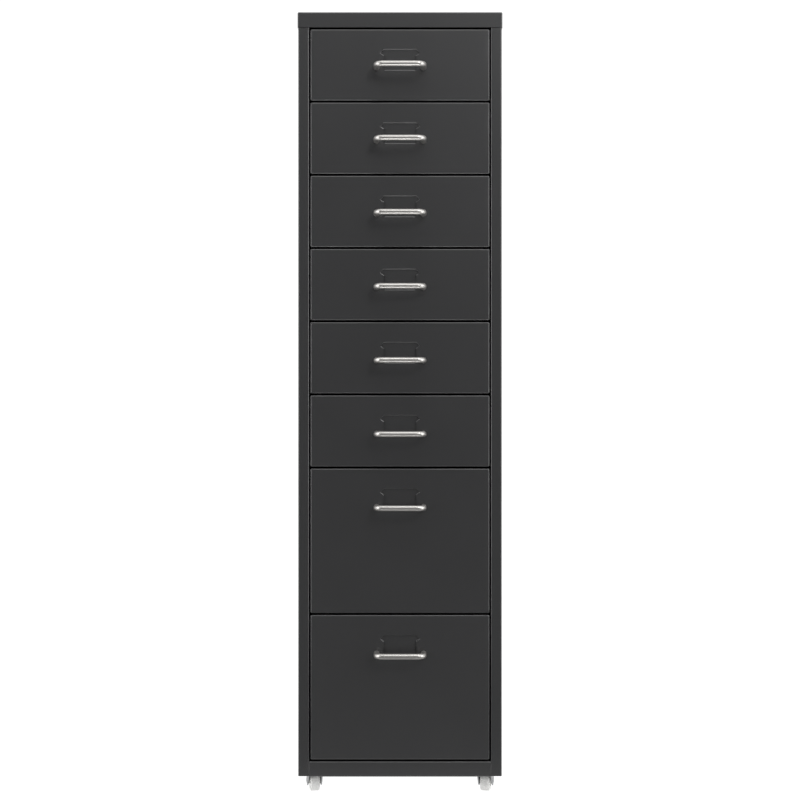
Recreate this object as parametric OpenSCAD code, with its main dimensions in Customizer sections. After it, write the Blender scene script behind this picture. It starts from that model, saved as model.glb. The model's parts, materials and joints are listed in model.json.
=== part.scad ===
// Tall steel chest of drawers on casters: a folded sheet-metal cabinet with six shallow and two
// deep drawers, each on a pair of channel runners, each with a bow handle and a card pocket.
// +X is right, +Y is back and +Z is up. The origin is on the floor, under the middle of the
// overall box, handles and rear screw heads included.

/* [Cabinet] */
// Overall width, over the top panel
cabinet_w = 280; // [240:1:360]
// Depth of the cabinet, without the handles
cabinet_d = 410; // [360:1:520]
// Thickness of the cabinet's sheet
sheet = 0.7; // [0.6:0.1:1]
// Outer radius of the cabinet's folds
fold_r = 1.8; // [1.4:0.1:2.4]
// Height of the top panel's lip
top_lip = 21; // [18:0.5:30]
// Height of the rail under the last drawer
bottom_lip = 21; // [18:0.5:30]
// Width of the posts beside the drawers
post_w = 15.5; // [14:0.5:22]
// Depth of the return behind each post
post_return = 8; // [6:0.5:8]
// Width of the side panels' rear flanges
rear_flange = 15; // [13:0.5:20]
// Gap between sheets that lie on each other
seam = 0.2; // [0.1:0.05:0.3]
// How much higher the side panels end than the front rail
side_lift = 1; // [0.5:0.1:2]

/* [Drawers] */
// Height of one drawer unit, front to front
unit_h = 100; // [80:1:125]
// Units that each drawer takes, from the top down
drawer_units = [1, 1, 1, 1, 1, 1, 2, 2]; // lists of 1 and 2
// Gap above, between and below the fronts
front_gap = 2.4; // [1.6:0.1:4]
// Gap beside the fronts
side_gap = 2.2; // [1.6:0.1:4]
// Depth of a front's folded edges
front_return = 9; // [7:0.5:9]
// Thickness of the drawer boxes' sheet
box_sheet = 0.6; // [0.5:0.1:0.8]
// Gap from a drawer box's back to the cabinet's back plane
box_back_gap = 25; // [20:1:60]
// Gap from a box's floor to the rim of the box below it
box_gap = 22; // [18:1:34]
// Front's top edge to the box's rim
rim_drop = 14; // [12:0.5:18]
// Gap from the front's sheet to the box's front wall
wall_gap = 2.5; // [2.2:0.1:4]
// How far the sliding flanges stand out from the box
flange_w = 7.2; // [5:0.1:9]
// Cabinet's front plane to the stop that keeps a drawer in
stop_in = 79.5; // [60:0.5:120]

/* [Card pocket] */
// Distance from the pocket's side to the handle's screw
pocket_side = 5; // [4:0.5:10]
// Width of the lips that hold the card's ends
lip_w = 4.8; // [3:0.1:10]
// Width of the slits between the lips and the pocket's plate
pocket_slit = 1.2; // [0.8:0.1:2]
// Width and drop of the slopes at the pocket's upper corners
pocket_slope = 5; // [2:0.5:8]
// Front's top edge to the pocket's upper edge
pocket_top = 27.5; // [20:0.5:30]
// Front's top edge to the lips' upper ends
pocket_lip_top = 36; // [35.5:0.5:40]
// Front's top edge to the pocket's floor
pocket_floor = 56; // [52:0.5:60]
// Depth of the pocket's back behind the front's face
pocket_depth = 2.2; // [1.8:0.1:2.4]

/* [Handles] */
// Distance between the two screws
handle_pitch = 64; // [64:1:96]
// Diameter of the rod
handle_rod = 8; // [6:0.5:10]
// How far the handle stands out
handle_out = 30; // [24:0.5:40]
// Bend radius on the rod's centreline
handle_bend = 9; // [7:0.5:12]
// Front's top edge to the handle's centre
handle_drop = 52.5; // [45:0.1:53]

/* [Runners] */
// Thickness of the runners
runner_t = 0.9; // [0.8:0.1:1.2]
// Clear height inside the channel
channel_h = 4.6; // [4:0.1:6]
// Height of the web that is spot-welded to the side panel
runner_web = 18; // [14:1:24]

/* [Casters] */
// Wheel diameter
wheel_dia = 30; // [24:0.5:40]
// Width of the tread
wheel_w = 13; // [10:0.5:14]
// Swivel axis to the wheel's axle
caster_trail = 11; // [8:0.5:14]
// Gap from the turning fork to the cabinet's side
caster_gap = 1.4; // [1:0.1:10]
// Swivel axis to the cabinet's front or back plane
caster_end = 36; // [34:0.5:60]
// Height of the hexagonal collar over the ball race
caster_neck = 3.6; // [3:0.1:8]
// Resting turn of the casters: front left, front right, rear left, rear right
caster_turn = [8, -10, 16, -14]; // degrees
// Thickness of the fork
fork_t = 1.5; // [1.2:0.1:2]
// Width of the stiffening channels over the casters
rail_w = 40; // [30:1:44]
// Depth of the stiffening channels
rail_h = 8.3; // [6:0.1:12]
// Thickness of the stiffening channels
rail_t = 1.2; // [1:0.1:1.5]

/* [Fasteners] */
// Diameter of the M4 screws' shanks
screw_dia = 3.9; // [3.8:0.05:4]
// How much wider the screws' clearance holes are
hole_clear = 0.5; // [0.4:0.1:1]
// Diameter of the pan heads
head_dia = 7.6; // [7:0.1:8]
// Height of the pan heads
head_h = 2.2; // [1.8:0.1:2.6]
// Width across the flats of the M4 nuts
nut_af = 7; // [6:0.5:8]
// Height of the M4 nuts
nut_h = 3.2; // [2.4:0.1:3.4]

/* [Hidden] */
$fn = 48;
HEX = 6;
eps = 0.01;

drawer_count = len(drawer_units);
function sum(list, n) = n <= 0 ? 0 : list[n - 1] + sum(list, n - 1);
all_units = sum(drawer_units, drawer_count);

screw_hole = screw_dia + hole_clear;
// A hole that a thread fills
function tapped(dia) = dia + 2 * run_clear;
run_clear = 0.05;
// Slope around a pan head, and its cross recess
head_slope_h = 1;
head_slope_w = 1.4;
cross_w = 4;
cross_deep = 1.1;
cross_slot = 0.8;
// How far the panel screws stand out of their nuts
screw_end = 1;
// How far the handle screws reach into the legs, and how deep the legs are tapped
screw_reach = 8;
tap_depth = 9;

// Heights of a caster's parts above the floor
wheel_r = wheel_dia / 2;
crown_z = wheel_dia + 3;
race_gap = 1.7;
cup_z = crown_z + fork_t + race_gap;
cup_h = 2.2;
caster_h = cup_z + cup_h + caster_neck;

// Planes of the cabinet
floor_gap = caster_h + rail_h + sheet - bottom_lip;
y_front = -(cabinet_d + handle_out + head_h) / 2 + handle_out;
y_back = y_front + cabinet_d;
z_opening = floor_gap + bottom_lip;
z_lip = z_opening + all_units * unit_h + front_gap;
z_top = z_lip + top_lip;

// Side panels: the top panel's lips lie outside them, and the back panel behind their flanges.
// They end below the top panel's folds.
side_low = floor_gap + side_lift;
side_high = z_top - fold_r - seam;
side_x = cabinet_w / 2 - sheet - seam;
side_in = side_x - sheet;
plate_half = side_in - seam;
post_x = cabinet_w / 2 - post_w;
back_face = y_back - sheet - seam;
flange_face = back_face - sheet - seam / 2;
post_clear = 0.6;
// Gap at spot welds, which are left out
weld_gap = 0.05;

// Drawers
box_d = cabinet_d - box_back_gap;
box_h = unit_h - box_gap;
front_w = cabinet_w - 2 * (post_w + side_gap);
wall_y = y_front + sheet + wall_gap;
flange_t = 2 * box_sheet;
flange_clear = 0.8;
flange_x = post_x - flange_clear;
box_x = flange_x - flange_w;
tab_t = 1.2;
tab_back = 5;
tab_w = 4.8;
tab_edge = 0.2;
rest_gap = 0.1;
stop_gap = 0.5;
tab_clear = 0.5;
tab_h = channel_h - flange_t - rest_gap - tab_clear;
flange_gap = 0.5;
boss_r = 6;
function units_above(i) = sum(drawer_units, i);
function front_top(i) = z_lip - front_gap - units_above(i) * unit_h;
function front_h(i) = drawer_units[i] * unit_h - front_gap;
function rim_z(i) = front_top(i) - rim_drop;
// A deep box keeps clear of the caster nuts under it
box_spare = 6;
function side_h(i) = box_h + (drawer_units[i] - 1) * (unit_h - box_spare);
function handle_z(i) = front_top(i) - handle_drop;
pocket_full_w = handle_pitch - 2 * pocket_side;
pocket_w = pocket_full_w - 2 * (lip_w + pocket_slit);
pocket_deep = pocket_floor - pocket_top;
pocket_lip_z = pocket_lip_top - pocket_top;

// Runners
runner_y = y_front + max(front_return, post_return) + 2;
runner_end = y_front + box_d + stop_gap + runner_t;
shelf_x = box_x + 1;
// A drawer comes out until the tabs at the end of its box meet the stops
stop_y = y_front + stop_in;
stop_w = 7.5;
rear_stop_w = 12;
rear_stop_h = channel_h - 1;
// Slot in the lip that a stop is bent down from
stop_slot = 8;

// Casters
fork_clear = 0.4;
// How far the wheel's hub stands out of its tread on each side
hub_stand = 1.8;
hub_w = wheel_w + 2 * hub_stand;
fork_in = hub_w / 2 + fork_clear;
fork_out = fork_in + fork_t;
crown_r = 12;
// How far the crown reaches behind the axle
crown_back = 4;
// How far the straight flanks reach before the king pin
crown_front = 9;
// Height of the flanks' front edge, and where their lower edge meets the round end
flank_h = 5;
ear_turn = 40;
ear_r = 7.5;
axle_r = 2.5;
press_clear = 0.02;
rivet_r = 4.2;
rivet_h = 1.2;
king_r = 3;
king_head_r = 4.6;
king_head_h = 1.3;
cup_r = 11;
collar_af = 13;
stem_r = 4;
stem_h = 16;
stem_tip = 1;
stem_hole_r = 4.3;
ball_r = 0.8;
ball_ring = 8;
ball_count = 12;
big_nut_af = 13;
big_nut_h = 6.5;
fork_swing = norm([fork_out, caster_trail + crown_back]);
caster_x = plate_half - sheet - caster_gap - fork_swing;
CASTERS = ["front_left", "front_right", "rear_left", "rear_right"];
function caster_pos(i) = [
    (i % 2 == 0 ? -1 : 1) * caster_x,
    i < 2 ? y_front + caster_end : y_back - caster_end
];

// Screws through the back panel: their height, and their distance from the middle
back_screw_rows = 5;
back_screw_x = side_x - rear_flange / 2;
back_screw_edge = 45;
// The screws through the bottom and top panels
middle_screw_x = 70;
function back_screw_z(k) =
    floor_gap + back_screw_edge
    + k * (z_top - floor_gap - 2 * back_screw_edge) / (back_screw_rows - 1);
bottom_screw_z = floor_gap + bottom_lip / 2;
top_screw_z = z_top - top_lip / 2;

// ---- Folded sheet ----

function unit(v) = v / norm(v);

// Profile of a sheet folded at right angles. line is the middle of the sheet, r the outer radius.
module folded_profile(line, t, r) {
    rc = r - t / 2;
    last = len(line) - 1;
    for (i = [0:last - 1]) {
        way = unit(line[i + 1] - line[i]);
        from = line[i] + (i > 0 ? rc : 0) * way;
        to = line[i + 1] - (i + 1 < last ? rc : 0) * way;
        translate(from)
            rotate(atan2(way[1], way[0]))
                translate([0, -t / 2])
                    square([norm(to - from), t]);
    }
    for (i = [1:last - 1]) {
        way_in = unit(line[i] - line[i - 1]);
        way_out = unit(line[i + 1] - line[i]);
        toward = way_in - way_out;
        translate(line[i] - rc * toward)
            intersection() {
                difference() {
                    circle(r);
                    circle(r - t);
                }
                translate([min(0, toward[0] * r), min(0, toward[1] * r)])
                    square([r, r]);
            }
    }
}

// Square of size [w, h] whose four corners, or only the two at y = 0, are round
module rounded_square(w, h, r, all_four = true) {
    translate([-w / 2 + r, 0])
        square([w - 2 * r, h]);
    translate([-w / 2, r])
        square([w, h - (all_four ? 2 : 1) * r]);
    for (x = [-1, 1], y = all_four ? [r, h - r] : [r])
        translate([x * (w / 2 - r), y])
            circle(r);
}

// Block with its face at z = 0 and its body below it, round along the face's edges and corners
module rounded_block(w, l, d, r) {
    intersection() {
        translate([0, -l / 2, -d])
            linear_extrude(d)
                rounded_square(w, l, r);
        translate([0, l / 2, 0])
            rotate([90, 0, 0])
                linear_extrude(l)
                    mirror([0, 1])
                        rounded_square(w, d + r, r, false);
        translate([-w / 2, 0, 0])
            rotate([90, 0, 90])
                linear_extrude(w)
                    mirror([0, 1])
                        rounded_square(l, d + r, r, false);
    }
}

// Sheet pan with its face up at z = 0, open below
module pan(w, l, d, t, r) {
    difference() {
        rounded_block(w, l, d, r);
        translate([0, 0, -t])
            rounded_block(w - 2 * t, l - 2 * t, d, r - t);
    }
}

// Runs a hole along +Y through a sheet that starts at y
module hole_y(x, y, z, dia, depth) {
    translate([x, y - eps, z])
        rotate([-90, 0, 0])
            cylinder(d = dia, h = depth + 2 * eps);
}

// Pan-head screw along Y: its head's underside at the origin, its head towards -Y
module pan_screw(length) {
    rotate([-90, 0, 0])
        cylinder(d = screw_dia, h = length);
    difference() {
        rotate([90, 0, 0]) {
            cylinder(d = head_dia, h = head_h - head_slope_h);
            translate([0, 0, head_h - head_slope_h])
                cylinder(d1 = head_dia, d2 = head_dia - 2 * head_slope_w, h = head_slope_h);
        }
        // Cross recess
        for (turn = [0, 90])
            rotate([0, turn, 0])
                translate([0, -head_h, 0])
                    cube([cross_w, 2 * cross_deep, cross_slot], center = true);
    }
}

// Hexagonal nut along Y from the origin towards +Y, with its hole
module nut_y(af, h, hole) {
    rotate([-90, 0, 0])
        difference() {
            cylinder(d = af / cos(180 / HEX), h = h, $fn = HEX);
            translate([0, 0, -eps])
                cylinder(d = hole, h = h + 2 * eps);
        }
}

// ---- Cabinet ----

module top_panel() {
    color("#3d3d3e")
        difference() {
            translate([0, y_front + cabinet_d / 2, z_top])
                pan(cabinet_w, cabinet_d, top_lip, sheet, fold_r);
            for (x = [-middle_screw_x, middle_screw_x])
                hole_y(x, y_back - sheet, top_screw_z, screw_hole, sheet);
        }
}

// The right side panel; the left one is its mirror image
module side_panel() {
    mid = sheet / 2;
    difference() {
        translate([0, 0, side_low])
            linear_extrude(side_high - side_low)
                folded_profile([
                    [post_x + mid, y_front + post_return],
                    [post_x + mid, y_front + mid],
                    [side_x - mid, y_front + mid],
                    [side_x - mid, flange_face - mid],
                    [side_x - rear_flange, flange_face - mid]
                ], sheet, fold_r);
        // The post stops under the top panel's lip
        translate([post_x - eps, y_front - eps, z_lip - post_clear])
            cube([post_w, post_return + 2 * eps, top_lip]);
        for (k = [0:back_screw_rows - 1])
            hole_y(back_screw_x, flange_face - sheet, back_screw_z(k), screw_hole, sheet);
    }
}

module right_side_panel() {
    color("#3d3d3e")
        side_panel();
}

module left_side_panel() {
    color("#3d3d3e")
        mirror([1, 0, 0])
            side_panel();
}

module back_panel() {
    half = side_x - fold_r / 2;
    color("#3d3d3e")
        difference() {
            translate([-half, back_face - sheet, side_low])
                cube([2 * half, sheet, side_high - side_low]);
            for (x = [-back_screw_x, back_screw_x], k = [0:back_screw_rows - 1])
                hole_y(x, back_face - sheet, back_screw_z(k), screw_hole, sheet);
            for (x = [-middle_screw_x, middle_screw_x], z = [bottom_screw_z, top_screw_z])
                hole_y(x, back_face - sheet, z, screw_hole, sheet);
        }
}

// Plate under the drawers: its front lip is the rail between the posts
module bottom_panel() {
    mid = sheet / 2;
    rail_half = post_x - seam;
    rear_half = side_x - rear_flange - seam;
    hem = 7;
    plate_gap = 0.7;
    plate_y = y_front + post_return + plate_gap;
    plate_end = flange_face - fold_r - seam;
    color("#3d3d3e")
        difference() {
            union() {
                // Front rail, plate and rear lip, folded from one strip
                translate([-min(rail_half, rear_half), 0, 0])
                    rotate([90, 0, 90])
                        linear_extrude(2 * min(rail_half, rear_half))
                            folded_profile([
                                [y_front + hem, floor_gap + mid],
                                [y_front + mid, floor_gap + mid],
                                [y_front + mid, z_opening - mid],
                                [flange_face - mid, z_opening - mid],
                                [flange_face - mid, side_low]
                            ], sheet, fold_r);
                // The plate's full width, with its side lips
                translate([0, plate_end, 0])
                    rotate([90, 0, 0])
                        linear_extrude(plate_end - plate_y)
                            folded_profile([
                                [-plate_half + mid, side_low],
                                [-plate_half + mid, z_opening - mid],
                                [plate_half - mid, z_opening - mid],
                                [plate_half - mid, side_low]
                            ], sheet, fold_r);
            }
            for (i = [0:3])
                translate(concat(caster_pos(i), z_opening - sheet - eps))
                    cylinder(r = stem_hole_r, h = sheet + 2 * eps);
            for (x = [-middle_screw_x, middle_screw_x])
                hole_y(x, flange_face - sheet, bottom_screw_z, screw_hole, sheet);
        }
}

// One runner on the right: a channel whose shelf carries the drawer's flange
module runner(rim) {
    mid = runner_t / 2;
    shelf_z = rim - flange_t - rest_gap;
    lip_z = shelf_z + channel_h;
    web_x = side_in - weld_gap;
    outer_r = runner_t + 0.4;
    difference() {
        translate([0, runner_end, 0])
            rotate([90, 0, 0])
                linear_extrude(runner_end - runner_y)
                    folded_profile([
                        [shelf_x, shelf_z - mid],
                        [web_x - mid, shelf_z - mid],
                        [web_x - mid, lip_z + mid],
                        [shelf_x, lip_z + mid]
                    ], runner_t, outer_r);
        translate([shelf_x - eps, stop_y - stop_slot, lip_z - eps])
            cube([stop_slot, stop_slot - runner_t, runner_t + 2 * eps]);
    }
    // Web for the spot welds
    translate([web_x - runner_t, runner_y, shelf_z - runner_web])
        cube([runner_t, runner_end - runner_y, runner_web - mid]);
    // Front stop, bent down from the lip
    translate([shelf_x, stop_y - runner_t, lip_z - tab_h])
        cube([stop_w, runner_t, tab_h + mid]);
    // Rear stop, bent up from the shelf
    translate([shelf_x, runner_end - runner_t, shelf_z - mid])
        cube([rear_stop_w, runner_t, rear_stop_h]);
}

module right_runners() {
    color("#3a3a3b")
        for (i = [0:drawer_count - 1])
            runner(rim_z(i));
}

module left_runners() {
    color("#3a3a3b")
        mirror([1, 0, 0])
            for (i = [0:drawer_count - 1])
                runner(rim_z(i));
}

// Stiffening channels under the plate, one over each pair of casters
module caster_channels() {
    mid = rail_t / 2;
    half = plate_half - fold_r - seam;
    edge_z = z_opening - sheet - weld_gap;
    color("#3a3a3b")
        for (i = [0, 2])
            difference() {
                translate([-half, caster_pos(i)[1], 0])
                    rotate([90, 0, 90])
                        linear_extrude(2 * half)
                            folded_profile([
                                [-rail_w / 2 + mid, edge_z],
                                [-rail_w / 2 + mid, caster_h + mid],
                                [rail_w / 2 - mid, caster_h + mid],
                                [rail_w / 2 - mid, edge_z]
                            ], rail_t, rail_t + 1);
                for (x = [-caster_x, caster_x])
                    translate([x, caster_pos(i)[1], caster_h - eps])
                        cylinder(r = stem_hole_r, h = rail_t + 2 * eps);
            }
}

module caster_nuts() {
    color("silver")
        for (i = [0:3])
            translate(concat(caster_pos(i), z_opening))
                difference() {
                    cylinder(d = big_nut_af / cos(180 / HEX), h = big_nut_h, $fn = HEX);
                    translate([0, 0, -eps])
                        cylinder(d = tapped(2 * stem_r), h = big_nut_h + 2 * eps);
                }
}

module panel_screws() {
    length = 2 * sheet + seam + nut_h + screw_end;
    color("silver") {
        for (x = [-back_screw_x, back_screw_x], k = [0:back_screw_rows - 1])
            translate([x, back_face, back_screw_z(k)])
                mirror([0, 1, 0])
                    pan_screw(length);
        for (x = [-middle_screw_x, middle_screw_x]) {
            translate([x, back_face, bottom_screw_z])
                mirror([0, 1, 0])
                    pan_screw(length);
            translate([x, y_back, top_screw_z])
                mirror([0, 1, 0])
                    pan_screw(length);
        }
    }
}

module panel_nuts() {
    hole = tapped(screw_dia);
    inner = flange_face - sheet - nut_h;
    color("silver") {
        for (x = [-back_screw_x, back_screw_x], k = [0:back_screw_rows - 1])
            translate([x, inner, back_screw_z(k)])
                nut_y(nut_af, nut_h, hole);
        for (x = [-middle_screw_x, middle_screw_x]) {
            translate([x, inner, bottom_screw_z])
                nut_y(nut_af, nut_h, hole);
            translate([x, back_face - sheet - nut_h, top_screw_z])
                nut_y(nut_af, nut_h, hole);
        }
    }
}

// ---- Casters ----

module at_caster(i) {
    translate(concat(caster_pos(i), 0))
        rotate(caster_turn[i])
            children();
}

// Fixed part: king pin, upper race, hexagonal collar and threaded stem
module caster_stem() {
    color("silver") {
        translate([0, 0, crown_z - king_head_h - run_clear])
            cylinder(r = king_head_r, h = king_head_h);
        translate([0, 0, crown_z - run_clear - eps])
            cylinder(r = king_r, h = cup_z - crown_z + run_clear + 2 * eps);
        translate([0, 0, cup_z])
            cylinder(r = cup_r, h = cup_h);
        translate([0, 0, cup_z + cup_h])
            cylinder(d = collar_af / cos(180 / HEX), h = caster_h - cup_z - cup_h, $fn = HEX);
        translate([0, 0, caster_h])
            cylinder(r = stem_r, h = stem_h - stem_tip);
        translate([0, 0, caster_h + stem_h - stem_tip])
            cylinder(r1 = stem_r, r2 = stem_r - stem_tip, h = stem_tip);
    }
}

// Balls between the fork's crown and the upper race
module caster_balls() {
    color("gainsboro")
        for (i = [0:3], k = [0:ball_count - 1])
            translate(concat(caster_pos(i), crown_z + fork_t + race_gap / 2))
                rotate(k * 360 / ball_count)
                    translate([ball_ring, 0, 0])
                        sphere(ball_r);
}

// Outline of one ear, seen from the side: crown above, round end about the axle
module ear_profile() {
    difference() {
        union() {
            // Flank from the crown's ends down to the round end
            polygon([
                [-crown_front, crown_z + fork_t / 2],
                [caster_trail + crown_back, crown_z + fork_t / 2],
                [caster_trail + ear_r, wheel_r],
                [caster_trail, wheel_r],
                [caster_trail - ear_r * cos(ear_turn), wheel_r - ear_r * sin(ear_turn)],
                [-crown_front, crown_z - flank_h]
            ]);
            translate([caster_trail, wheel_r])
                circle(ear_r);
        }
        translate([caster_trail, wheel_r])
            circle(axle_r);
    }
}

// Pressed fork: a round crown with two ears, its wheel trailing towards +Y
module caster_fork() {
    color("silver")
        difference() {
            union() {
                translate([0, 0, crown_z])
                    cylinder(r = crown_r, h = fork_t);
                translate([-fork_out, -crown_front, crown_z])
                    cube([2 * fork_out, crown_front + caster_trail + crown_back, fork_t]);
                for (x = [-fork_out, fork_in])
                    translate([x, 0, 0])
                        rotate([90, 0, 90])
                            linear_extrude(fork_t)
                                ear_profile();
            }
            translate([0, 0, crown_z - eps])
                cylinder(r = king_r + run_clear, h = fork_t + 2 * eps);
        }
}

module caster_axle() {
    color("gainsboro")
        translate([0, caster_trail, wheel_r])
            rotate([0, 90, 0]) {
                cylinder(r = axle_r - press_clear, h = 2 * fork_out + 2 * eps, center = true);
                for (side = [0, 1])
                    mirror([0, 0, side])
                        translate([0, 0, fork_out])
                            cylinder(r1 = rivet_r, r2 = rivet_r - rivet_h, h = rivet_h);
            }
}

// Moulded wheel: round-shouldered tread, dished web, hub
module caster_wheel() {
    shoulder = 1.8;
    dish = 2.6;
    tread_t = 3.4;
    hub_r = 5.4;
    lap = 1;
    tread_r = wheel_r - tread_t;
    bore_r = axle_r + run_clear;
    half = wheel_w / 2;
    color("#c4c5c4")
        translate([0, caster_trail, wheel_r])
            rotate([0, 90, 0])
                rotate_extrude() {
                    translate([bore_r, -hub_w / 2])
                        square([hub_r - bore_r, hub_w]);
                    // Web, which laps the hub and the tread
                    translate([hub_r - lap, dish - half])
                        square([tread_r - hub_r + 2 * lap, wheel_w - 2 * dish]);
                    translate([tread_r, -half])
                        square([tread_t - shoulder, wheel_w]);
                    translate([wheel_r - shoulder - eps, shoulder - half])
                        square([shoulder + eps, wheel_w - 2 * shoulder]);
                    for (y = [shoulder - half, half - shoulder])
                        translate([wheel_r - shoulder, y])
                            circle(shoulder);
                }
}

// ---- Drawers ----

function both_sides(points) =
    concat(points, [for (k = [len(points) - 1:-1:0]) [-points[k][0], points[k][1]]]);

// Opening in the front's face for the card, its upper edge at y = 0. Beside its narrow part the
// face stays as two lips, which hold the card's ends, and a slit parts each from the plate behind.
module pocket_opening() {
    half = pocket_full_w / 2;
    polygon(both_sides([
        [half - pocket_slope, 0],
        [half, -pocket_slope],
        [pocket_w / 2 + pocket_slit, -pocket_lip_z],
        [pocket_w / 2 + pocket_slit, -pocket_deep]
    ]));
}

// Outline of the plate that is pressed back behind the opening. With grow it takes in its walls,
// which stand above, below and at the sloping corners.
module pocket_plate(grow = 0) {
    half = pocket_full_w / 2;
    // An edge at 45 degrees moves out evenly when its ends move by this much
    shift = grow * tan(22.5);
    polygon(both_sides([
        [half - pocket_slope + shift, grow],
        [half + grow, shift - pocket_slope],
        [half + grow, -pocket_lip_z],
        [pocket_w / 2, -pocket_lip_z],
        [pocket_w / 2, -pocket_deep - grow]
    ]));
}

// Stands an outline up in the front's plane and gives it a thickness towards the back
module upright(thickness) {
    rotate([90, 0, 0])
        translate([0, 0, -thickness])
            linear_extrude(thickness)
                children();
}

// Front: a pan with folded edges, and a pressed card pocket behind the handle
module drawer_front(i) {
    top = front_top(i);
    h = front_h(i);
    color("#3d3d3e") {
        difference() {
            translate([0, y_front, top - h / 2])
                rotate([90, 0, 0])
                    pan(front_w, h, front_return, sheet, fold_r);
            translate([0, y_front - eps, top - pocket_top])
                upright(sheet + 2 * eps)
                    pocket_opening();
            for (x = [-handle_pitch / 2, handle_pitch / 2])
                hole_y(x, y_front, handle_z(i), screw_hole, sheet);
        }
        difference() {
            translate([0, y_front + sheet / 2, top - pocket_top])
                upright(pocket_depth + sheet / 2)
                    pocket_plate(sheet);
            translate([0, y_front, top - pocket_top])
                upright(pocket_depth)
                    pocket_plate();
            // Clears the lips' inner face
            translate([0, y_front, top - pocket_top])
                upright(pocket_depth)
                    pocket_opening();
        }
    }
}

// Right side wall of a box, with the flange it slides on and the tab that stops it
module box_side(i) {
    rim = rim_z(i);
    flange_y = y_front + front_return + flange_gap;
    flange_l = y_front + box_d - flange_y;
    translate([box_x - box_sheet, wall_y, rim - side_h(i)])
        cube([box_sheet, y_front + box_d - wall_y, side_h(i)]);
    // Flange, folded double
    translate([box_x - box_sheet, flange_y, rim - flange_t])
        cube([box_sheet + flange_w, flange_l, flange_t]);
    translate([flange_x - tab_edge - tab_w, y_front + box_d - tab_back, rim - eps])
        cube([tab_w, tab_t, tab_h + eps]);
}

// Box, welded from a floor, two side walls, a back wall and a front wall
module drawer_box(i) {
    base = rim_z(i) - side_h(i);
    half = box_x - box_sheet - weld_gap;
    end = box_sheet + weld_gap;
    length = y_front + box_d - wall_y;
    color("#3a3a3b") {
        translate([-half, wall_y + end, base])
            cube([2 * half, length - 2 * end, box_sheet]);
        for (side = [0, 1])
            mirror([side, 0, 0])
                box_side(i);
        translate([-half, wall_y + length - box_sheet, base])
            cube([2 * half, box_sheet, side_h(i)]);
        difference() {
            union() {
                translate([-half, wall_y, base])
                    cube([2 * half, box_sheet, side_h(i)]);
                // Pressed bosses that meet the front's sheet
                for (x = [-handle_pitch / 2, handle_pitch / 2])
                    translate([x, y_front + sheet + weld_gap, handle_z(i)])
                        rotate([-90, 0, 0])
                            cylinder(r = boss_r, h = wall_gap + box_sheet - weld_gap);
            }
            for (x = [-handle_pitch / 2, handle_pitch / 2])
                hole_y(x, y_front + sheet, handle_z(i), screw_hole, wall_gap + box_sheet);
        }
    }
}

// Bow handle with a tapped hole in each leg
module drawer_handle(i) {
    r = handle_rod / 2;
    out = handle_out - r;
    bar = handle_pitch - 2 * handle_bend;
    leg = out - handle_bend;
    color("#c9c9c6")
        translate([0, y_front, handle_z(i)])
            difference() {
                union() {
                    translate([0, -out, 0])
                        rotate([0, 90, 0])
                            cylinder(r = r, h = bar, center = true);
                    for (side = [0, 1])
                        mirror([side, 0, 0]) {
                            translate([bar / 2, -leg, 0])
                                rotate([0, 0, -90])
                                    rotate_extrude(angle = 90)
                                        translate([handle_bend, 0])
                                            circle(r);
                            translate([handle_pitch / 2, -leg, 0])
                                rotate([-90, 0, 0])
                                    cylinder(r = r, h = leg);
                        }
                }
                for (x = [-handle_pitch / 2, handle_pitch / 2])
                    hole_y(x, -tap_depth, 0, tapped(screw_dia), tap_depth);
            }
}

// Two screws from inside the box into the handle's legs
module drawer_screws(i) {
    grip = sheet + wall_gap + box_sheet;
    color("silver")
        for (x = [-handle_pitch / 2, handle_pitch / 2])
            translate([x, y_front + grip, handle_z(i)])
                mirror([0, 1, 0])
                    pan_screw(grip + screw_reach);
}

// ---- Nodes ----

top_panel();
bottom_panel();
left_side_panel();
right_side_panel();
back_panel();
left_runners();
right_runners();
caster_channels();
caster_nuts();
caster_balls();
panel_screws();
panel_nuts();
for (i = [0:3]) {
    at_caster(i) caster_stem();
    at_caster(i) caster_fork();
    at_caster(i) caster_axle();
    at_caster(i) caster_wheel();
}
for (i = [0:drawer_count - 1]) {
    drawer_front(i);
    drawer_box(i);
    drawer_handle(i);
    drawer_screws(i);
}
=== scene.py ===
# %% [markdown]
# # Tall steel chest of drawers
#
# The real object is a slim office drawer unit: thin steel sheet, folded and spot-welded, powder
# coated in dark grey, on four small casters. Six shallow drawers sit over two deep ones. Each has
# a bow handle in nickel plate, and behind it a card pocket that is pressed into the front.
#
# This lesson loads the measured frame, and then models each visible piece around it by hand.

# %% Load the frame
import json
import math

import bmesh
import bpy
from mathutils import Matrix, Vector

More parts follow.
